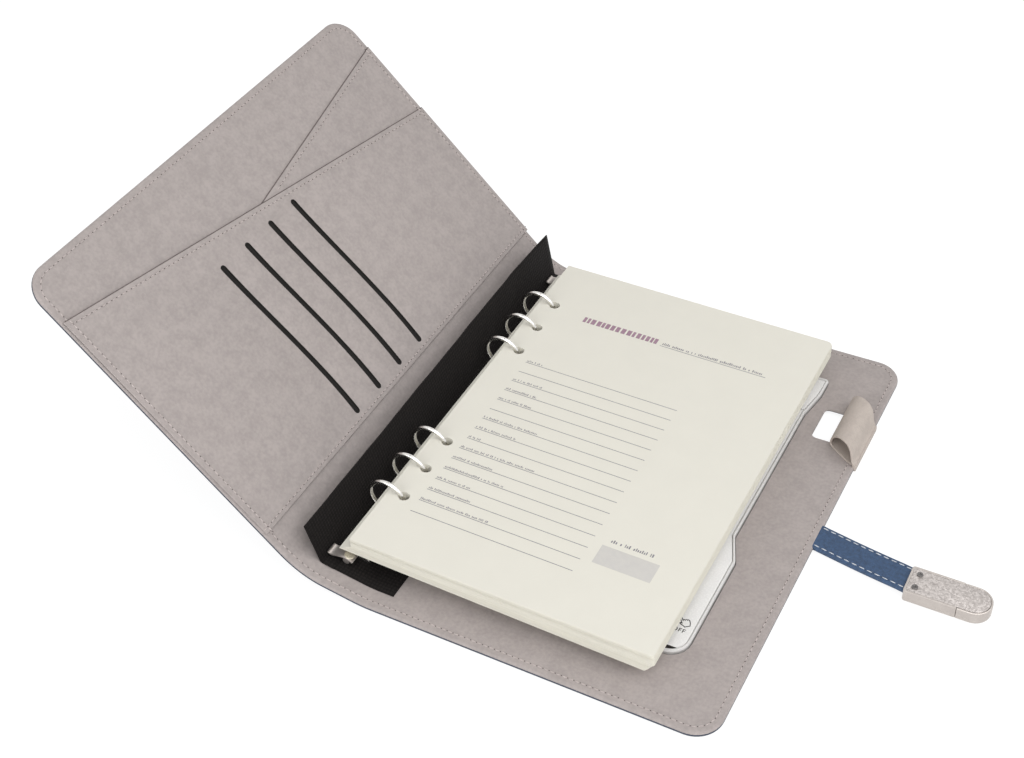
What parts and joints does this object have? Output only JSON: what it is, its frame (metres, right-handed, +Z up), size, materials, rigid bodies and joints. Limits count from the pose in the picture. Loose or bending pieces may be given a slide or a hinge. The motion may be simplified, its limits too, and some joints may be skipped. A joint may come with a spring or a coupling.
{
  "type": "power bank notebook",
  "caption": "Open ring notebook in a folding leather-look cover, with a power bank under the pages, card slots, a pen loop and a strap whose buckle holds a USB drive",
  "frame": {"origin": "centre of the back cover's outer face, where it lies on the table", "axes": "+X runs from the spine to the fore edge, +Y along the spine from the bottom edge to the top edge, +Z up from the table"},
  "size_m": [0.3891, 0.2426, 0.1295],
  "materials": {
    "outer_leather": "grained imitation leather, matt",
    "lining_leather": "suede-like imitation leather, matt",
    "cover_board": "grey board, raw",
    "slot_felt": "thin black felt",
    "ring_cloth": "bonded black cloth with a fine dot texture",
    "strap_leather": "stitched imitation leather",
    "ring_chrome": "bright plated steel",
    "page_paper": "uncoated cream paper",
    "bank_white": "smooth white plastic",
    "bank_tray_grey": "moulded plastic",
    "port_black": "moulded black plastic",
    "cell_wrap": "foil pouch",
    "circuit_green": "solder mask",
    "port_steel": "plated steel",
    "sensor_foil": "thin copper foil",
    "light_pipe": "clear plastic",
    "buckle_metal": "satin nickel plate",
    "buckle_texture": "etched, glittering plate",
    "magnet_nickel": "nickel plate",
    "plug_tongue_white": "moulded plastic"
  },
  "bodies": {
    "back_cover": {"back_cover_skin": "outer_leather", "back_cover_board": "cover_board", "back_cover_lining": "lining_leather", "pen_loop": "lining_leather", "strap_root_tab": "strap_leather", "power_bank_tray": "bank_tray_grey", "power_bank_bezel": "bank_white", "power_bank_panel": "bank_white", "power_bank_end_panel": "bank_white", "battery_cells": "cell_wrap", "circuit_board": "circuit_green", "charging_ports": "port_steel", "port_well": "port_black", "touch_sensor_pad": "sensor_foil", "charge_indicators": "light_pipe", "power_bank_screws": "port_steel", "ring_cloth_margin": "ring_cloth"},
    "spine": {"spine_skin": "outer_leather", "spine_board": "cover_board", "spine_lining": "lining_leather", "ring_cloth_base": "ring_cloth", "ring_cover_plate": "ring_chrome", "mechanism_rivets": "ring_chrome"},
    "cloth_flap": {"cloth_flap": "ring_cloth"},
    "ring_left": {"rail_left": "ring_chrome", "half_rings_left": "ring_chrome"},
    "ring_right": {"rail_right": "ring_chrome", "half_rings_right": "ring_chrome"},
    "lever_bottom": {"lever_bottom": "ring_chrome", "lever_bottom_rivet": "ring_chrome"},
    "lever_top": {"lever_top": "ring_chrome", "lever_top_rivet": "ring_chrome"},
    "page_stack": {"title_sheet": "page_paper", "page_block_1": "page_paper", "page_block_2": "page_paper", "page_block_3": "page_paper", "page_block_4": "page_paper", "page_block_5": "page_paper"},
    "front_cover": {"front_cover_skin": "outer_leather", "front_cover_board": "cover_board", "front_cover_lining": "lining_leather", "front_upper_pocket": "lining_leather", "front_lower_pocket": "lining_leather", "card_slot_backing": "slot_felt", "front_magnet_plate": "port_steel"},
    "strap_lower": {"strap_lower": "strap_leather"},
    "buckle": {"strap_upper": "strap_leather", "buckle_housing": "buckle_metal", "buckle_top_plate": "buckle_texture", "buckle_screws": "port_steel", "buckle_magnet": "magnet_nickel"},
    "usb_drive": {"usb_drive_body": "buckle_metal", "usb_plug_shell": "port_steel", "usb_plug_tongue": "plug_tongue_white"}
  },
  "joints": [
    {"name": "spine_fold", "type": "hinge", "parent": "back_cover", "child": "spine", "pos_m": [-0.08075, 0, 0.0004], "axis": [0, 1, 0], "range_deg": [-3, 73.6]},
    {"name": "front_fold", "type": "hinge", "parent": "spine", "child": "front_cover", "pos_m": [-0.11715, 0, 0.01109], "axis": [0, 1, 0], "range_deg": [-45.9, 63.5]},
    {"name": "page_swivel", "type": "hinge", "parent": "spine", "child": "page_stack", "pos_m": [-0.09479, 0, 0.01779], "axis": [0, 1, 0], "range_deg": [-76, 3.6]},
    {"name": "flap_fold", "type": "hinge", "parent": "spine", "child": "cloth_flap", "pos_m": [-0.1063, 0, 0.00877], "axis": [0, 1, 0], "range_deg": [-12.2, 16.8]},
    {"name": "lever_bottom_turn", "type": "hinge", "parent": "spine", "child": "lever_bottom", "pos_m": [-0.09637, -0.104, 0.00868], "axis": [0, 1, 0], "range_deg": [0, 30]},
    {"name": "lever_top_turn", "type": "hinge", "parent": "spine", "child": "lever_top", "pos_m": [-0.09637, 0.104, 0.00868], "axis": [0, 1, 0], "range_deg": [0, 30]},
    {"name": "ring_left_turn", "type": "hinge", "parent": "spine", "child": "ring_left", "pos_m": [-0.10194, 0, 0.00934], "axis": [0, 1, 0], "range_deg": [-5.7, 0.2]},
    {"name": "ring_right_turn", "type": "hinge", "parent": "spine", "child": "ring_right", "pos_m": [-0.0909, 0, 0.00743], "axis": [0, 1, 0], "range_deg": [-0.2, 5.7]},
    {"name": "strap_root_fold", "type": "hinge", "parent": "back_cover", "child": "strap_lower", "pos_m": [0.08295, 0, 0.0018], "axis": [0, -1, 0], "range_deg": [0, 87]},
    {"name": "strap_tip_fold", "type": "hinge", "parent": "strap_lower", "child": "buckle", "pos_m": [0.11895, 0, 0.0038], "axis": [0, -1, 0], "range_deg": [0, 93]},
    {"name": "usb_slide", "type": "slide", "parent": "buckle", "child": "usb_drive", "axis": [1, 0, 0], "range_m": [0, 0.014]}
  ],
  "couplings": [
    {"joint": "page_swivel", "follows": "spine_fold", "ratio": -1.026},
    {"joint": "flap_fold", "follows": "front_fold", "ratio": 0.262},
    {"joint": "lever_top_turn", "follows": "lever_bottom_turn", "ratio": 1},
    {"joint": "ring_right_turn", "follows": "lever_bottom_turn", "ratio": 0.1833},
    {"joint": "ring_left_turn", "follows": "lever_bottom_turn", "ratio": -0.1833}
  ]
}
